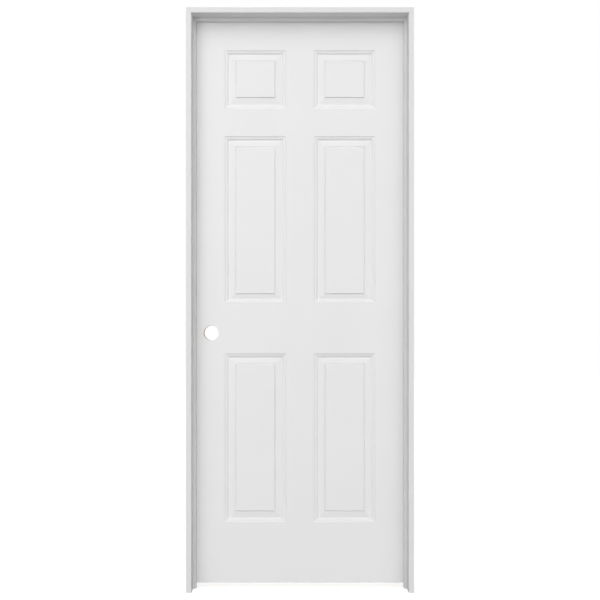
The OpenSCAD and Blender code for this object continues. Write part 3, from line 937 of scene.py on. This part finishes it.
def turned(tree, **angles):
    """A rotation by angles about X, Y and Z."""
    return add(tree, "FunctionNodeEulerToRotation", {0: vector(tree, **angles)})[0]


def moved_up(tree, shape, height):
    """A shape moved along its +Z."""
    return geo(tree, "Transform", {"Geometry": shape, "Translation": vector(tree, Z=height)})


def screw_tree():
    """Countersunk cross-recess screws on points; each points along its own +Z before it is turned."""
    head_sides, shank_sides = 40, 24
    # The shank starts inside the head, and the tip inside the shank
    shank_start, shank_share, tip_share, tip_end = 0.0004, 0.98, 0.96, 0.0002
    # The recess, as shares of the head's radius and height
    arm_share, slit_share, depth_share = 1.05, 0.26, 1.2
    tree, keys, given = new_tree(
        "hinge_screws", "Head Radius", "Head Height", "Shank Radius", "Length", "Tilt", "Seed")
    radius = given["Shank Radius"]
    head = geo(tree, "MeshCone", {
        "Vertices": head_sides, "Radius Bottom": given["Head Radius"], "Radius Top": radius,
        "Depth": given["Head Height"]})
    tip_height = product(tree, radius, 2.0)
    shank_height = calc(tree, "SUBTRACT", given["Length"], tip_height)
    shank = geo(tree, "MeshCylinder", {
        "Vertices": shank_sides, "Radius": product(tree, radius, shank_share), "Depth": shank_height})
    tip = geo(tree, "MeshCone", {
        "Vertices": shank_sides, "Radius Bottom": product(tree, radius, tip_share),
        "Radius Top": tip_end, "Depth": tip_height})
    shank_middle = calc(tree, "ADD", product(tree, shank_height, 0.5), shank_start)
    parts = [head, moved_up(tree, shank, shank_middle), moved_up(tree, tip, shank_height)]
    body = geo(tree, "MeshBoolean", {"Mesh 2": parts}, operation="UNION", solver="EXACT")
    arm = product(tree, given["Head Radius"], arm_share)
    slit = product(tree, given["Head Radius"], slit_share)
    deep = product(tree, given["Head Height"], depth_share)
    bars = [
        geo(tree, "MeshCube", {"Size": vector(tree, X=wide, Y=tall, Z=deep)})
        for wide, tall in ((arm, slit), (slit, arm))]
    screw = geo(
        tree, "MeshBoolean", {"Mesh 1": body, "Mesh 2": bars}, operation="DIFFERENCE", solver="EXACT")
    # A random value's inputs 2, 3 and 8 are its limits and its seed, and its output 1 is the number
    drive = add(
        tree, "FunctionNodeRandomValue", {2: 0.0, 3: math.pi / 2.0, 8: given["Seed"]}, data_type="FLOAT")[1]
    turn = add(tree, "FunctionNodeRotateRotation", {
        0: turned(tree, Z=drive), 1: turned(tree, Y=given["Tilt"])}, rotation_space="GLOBAL")[0]
    end_tree(tree, given, screw, turn)
    return tree, keys


def staple_tree():
    """Wire staples on points; each drives along its own +X, turned about Z on the right side."""
    corner_count, bend_steps = 4, 4
    # Round of the wire's own edges, as a share of its thickness
    edge_share, edge_steps = 0.2, 2
    tree, keys, given = new_tree("head_staples", "Crown", "Leg", "Wire")
    wire = given["Wire"]
    line = geo(tree, "MeshLine", {"Count": corner_count})
    index = geo(tree, "InputIndex")
    middle = (corner_count - 1) / 2.0
    off_middle = calc(tree, "ABSOLUTE", calc(tree, "SUBTRACT", index, middle))
    half_wire = product(tree, wire, 0.5)
    reach = calc(tree, "SUBTRACT", given["Leg"], half_wire)
    out = product(tree, calc(tree, "GREATER_THAN", off_middle, 1.0), reach)
    span = calc(tree, "SUBTRACT", given["Crown"], wire)
    side = calc(tree, "SUBTRACT", calc(tree, "GREATER_THAN", index, middle), 0.5)
    spot = vector(tree, X=calc(tree, "MAXIMUM", out, half_wire), Y=product(tree, side, span))
    bent = geo(tree, "SetPosition", {"Geometry": line, "Position": spot})
    curve = geo(tree, "MeshToCurve", {"Mesh": bent})
    route = geo(tree, "FilletCurve", {"Curve": curve, "Radius": wire, "Count": bend_steps}, mode="POLY")
    square = geo(tree, "CurvePrimitiveQuadrilateral", {"Width": wire, "Height": wire})
    section = geo(tree, "FilletCurve", {
        "Curve": square, "Radius": product(tree, wire, edge_share), "Count": edge_steps}, mode="POLY")
    staple = geo(tree, "CurveToMesh", {"Curve": route, "Profile Curve": section, "Fill Caps": True})
    x, _, _ = parts_of(tree, geo(tree, "InputPosition"))
    half_turn = product(tree, calc(tree, "GREATER_THAN", x, 0.0), math.pi)
    end_tree(tree, given, staple, turned(tree, Z=half_turn))
    return tree, keys


class DOOR_OT_hinge_screws(bpy.types.Operator):
    """Make the screws of the hinge leaves"""

    bl_idname = "door.hinge_screws"
    bl_label = "Hinge screws"

    def execute(self, context):
        sizes = context.scene.door_fittings
        plating = satin_nickel("screw_nickel", context.scene.door_finishes.nickel)
        tree, keys = screw_tree()
        head = sizes.screw_head
        for side, body, into_wood in (("jamb", "frame", 1.0), ("door", "door", -1.0)):
            nodes = [f"{hinge}_hinge_{side}_screws" for hinge in HINGES]
            points = []
            for node in nodes:
                low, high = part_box(node)
                face_x = low.x if into_wood > 0 else high.x
                near, far = high.y - head, low.y + head
                points += [
                    (face_x, near, low.z + head), (face_x, far, (low.z + high.z) / 2.0),
                    (face_x, near, high.z - head)]
            screws = grown(f"nickel_hinge_{side}_screws", tree, keys, FASTENER_SHARP, {
                "Head Radius": head, "Head Height": sizes.leaf_thickness,
                "Shank Radius": sizes.screw_shank, "Length": high.x - low.x,
                "Tilt": into_wood * math.pi / 2.0, "Seed": sizes.seed, "Material": plating,
            }, points)
            hand_over(screws, body, nodes)
        return {"FINISHED"}


class DOOR_OT_staples(bpy.types.Operator):
    """Make the staples of the head joints"""

    bl_idname = "door.staples"
    bl_label = "Head joint staples"

    def execute(self, context):
        sizes = context.scene.door_fittings
        tree, keys = staple_tree()
        low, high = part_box("head_joint_staples")
        leg = high.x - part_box("head_jamb")[1].x + sizes.staple_grip
        middle = (low + high) / 2.0
        half_crown = sizes.staple_crown / 2.0
        rows = (low.y + half_crown, middle.y, high.y - half_crown)
        points = [(x, y, middle.z) for x in (low.x, high.x) for y in rows]
        staples = grown("galvanised_head_joint_staples", tree, keys, FASTENER_SHARP, {
            "Crown": sizes.staple_crown, "Leg": leg, "Wire": sizes.staple_wire,
            "Material": galvanised_wire(context.scene.door_finishes.zinc),
        }, points)
        hand_over(staples, "frame", ["head_joint_staples"])
        return {"FINISHED"}


# Studio

def white_for_camera(tree):
    """1 for the rays that show the background: camera, glossy and transmission rays."""
    path = add(tree, "ShaderNodeLightPath")
    seen = calc(tree, "MAXIMUM", path["Is Camera Ray"], path["Is Glossy Ray"])
    return calc(tree, "MAXIMUM", seen, path["Is Transmission Ray"])


class DOOR_OT_stage(bpy.types.Operator):
    """Set up the floor, the lamps, the white room and the camera"""

    bl_idname = "door.stage"
    bl_label = "Studio"

    FLOOR_REACH = 14.0
    FLOOR_DROP = 0.0002
    KEY_PLACE = (-1.2, -2.4, 2.2)
    KEY_AIM = (0.0, LEAF_FRONT, 1.2)
    KEY_SIZE = 1.0
    SENSOR_WIDTH = 36.0

    def execute(self, context):
        studio = context.scene.door_studio
        self.make_floor(studio)
        self.make_room(context.scene, studio)
        self.make_key(studio)
        self.make_camera(context.scene, studio)
        context.scene.view_settings.view_transform = "Standard"
        return {"FINISHED"}

    def make_floor(self, studio):
        """A plain pale floor that keeps the door's shadow and reads as white."""
        mesh = bpy.data.meshes.new("studio_floor")
        reach = self.FLOOR_REACH
        corners = ((-reach, -reach), (reach, -reach), (reach, reach), (-reach, reach))
        mesh.from_pydata([(*corner, -self.FLOOR_DROP) for corner in corners], [], [(0, 1, 2, 3)])
        material, tree = new_finish("studio_floor")
        tree.nodes.clear()
        speck = noise(tree, scale=3.0)
        tone = blended(tree, speck, shade(studio.floor_colour, by=0.985), studio.floor_colour)
        paint = add(tree, "ShaderNodeBsdfDiffuse", {"Color": tone})[0]
        lift = add(tree, "ShaderNodeEmission", {
            "Strength": product(tree, white_for_camera(tree), studio.floor_lift)})[0]
        both = add(tree, "ShaderNodeAddShader", {0: paint, 1: lift})[0]
        add(tree, "ShaderNodeOutputMaterial", {"Surface": both})
        mesh.materials.append(material)
        link("studio_floor", mesh)

    def make_room(self, scene, studio):
        """A white room with broad light from the front and above, and low light from the rear."""
        level_focus, raised_focus, rear_edge = 4.0, 2.0, 0.1
        world = bpy.data.worlds.new("white_room")
        world.use_nodes = True
        tree = world.node_tree
        tree.nodes.clear()
        _, to_rear, up = parts_of(tree, add(tree, "ShaderNodeTexCoord")["Generated"])
        front = calc(tree, "MAXIMUM", product(tree, to_rear, -1.0), 0.0)
        above = calc(tree, "MAXIMUM", up, 0.0)
        level = calc(tree, "POWER", front, level_focus)
        raised = product(tree, calc(tree, "POWER", front, raised_focus), above, studio.front_rise)
        broad = product(tree, calc(tree, "ADD", level, raised), studio.front_light)
        behind = ramped(tree, to_rear, 0.0, studio.rear_light, end=rear_edge)
        low = calc(tree, "POWER", calc(tree, "SUBTRACT", 1.0, calc(tree, "POWER", above, 2.0)), 2.0)
        lit = calc(tree, "ADD", broad, product(tree, behind, low))
        light = add(tree, "ShaderNodeBackground", {
            "Color": (1.0, 1.0, 1.0, 1.0), "Strength": ramped(tree, white_for_camera(tree), lit, 1.0)})[0]
        add(tree, "ShaderNodeOutputWorld", {"Surface": light})
        scene.world = world

    def make_key(self, studio):
        """A soft square lamp in front, to the left and above."""
        lamp = bpy.data.lights.new("soft_key", "AREA")
        lamp.shape = "SQUARE"
        lamp.size = self.KEY_SIZE
        lamp.energy = studio.key_power
        key = link("soft_key", lamp)
        key.location = self.KEY_PLACE
        aim = Vector(self.KEY_AIM) - key.location
        key.rotation_euler = aim.to_track_quat("-Z", "Y").to_euler()

    def make_camera(self, scene, studio):
        """A level camera in front, shifted up to take in the whole door."""
        lens = bpy.data.cameras.new("photo_camera")
        lens.lens = studio.focal_length
        lens.sensor_width = self.SENSOR_WIDTH
        lens.shift_y = studio.camera_shift
        camera = link("photo_camera", lens)
        jamb_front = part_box("head_jamb")[0].y
        camera.location = (0.0, jamb_front - studio.camera_distance, studio.camera_height)
        camera.rotation_euler = (math.pi / 2.0, 0.0, 0.0)
        scene.camera = camera


class DOOR_PT_sidebar(bpy.types.Panel):
    """Lists the door's pieces and settings"""

    bl_idname = "DOOR_PT_sidebar"
    bl_label = "Prehung door"
    bl_space_type = "VIEW_3D"
    bl_region_type = "UI"
    bl_category = "Door"

    def draw(self, context):
        for operator in OPERATORS:
            self.layout.operator(operator.bl_idname)
        for name, settings in SETTINGS.items():
            for key in settings.__annotations__:
                self.layout.prop(getattr(context.scene, name), key)


SETTINGS = {
    "door_leaf": DoorLeafSizes,
    "door_fittings": DoorFittingSizes,
    "door_finishes": DoorFinishes,
    "door_studio": DoorStudio,
}
OPERATORS = (
    DOOR_OT_skins, DOOR_OT_jambs, DOOR_OT_stops, DOOR_OT_leaf_frame, DOOR_OT_core,
    DOOR_OT_hinge_leaves, DOOR_OT_hinge_pins, DOOR_OT_hinge_screws, DOOR_OT_staples, DOOR_OT_stage,
)
CLASSES = (*SETTINGS.values(), *OPERATORS, DOOR_PT_sidebar)


def register():
    for each in CLASSES:
        bpy.utils.register_class(each)
    for name, settings in SETTINGS.items():
        setattr(bpy.types.Scene, name, PointerProperty(type=settings))


def unregister():
    for name in SETTINGS:
        delattr(bpy.types.Scene, name)
    for each in reversed(CLASSES):
        bpy.utils.unregister_class(each)


def main():
    register()
    for operator in OPERATORS:
        group, name = operator.bl_idname.split(".")
        getattr(getattr(bpy.ops, group), name)()


if __name__ == "__main__":
    main()
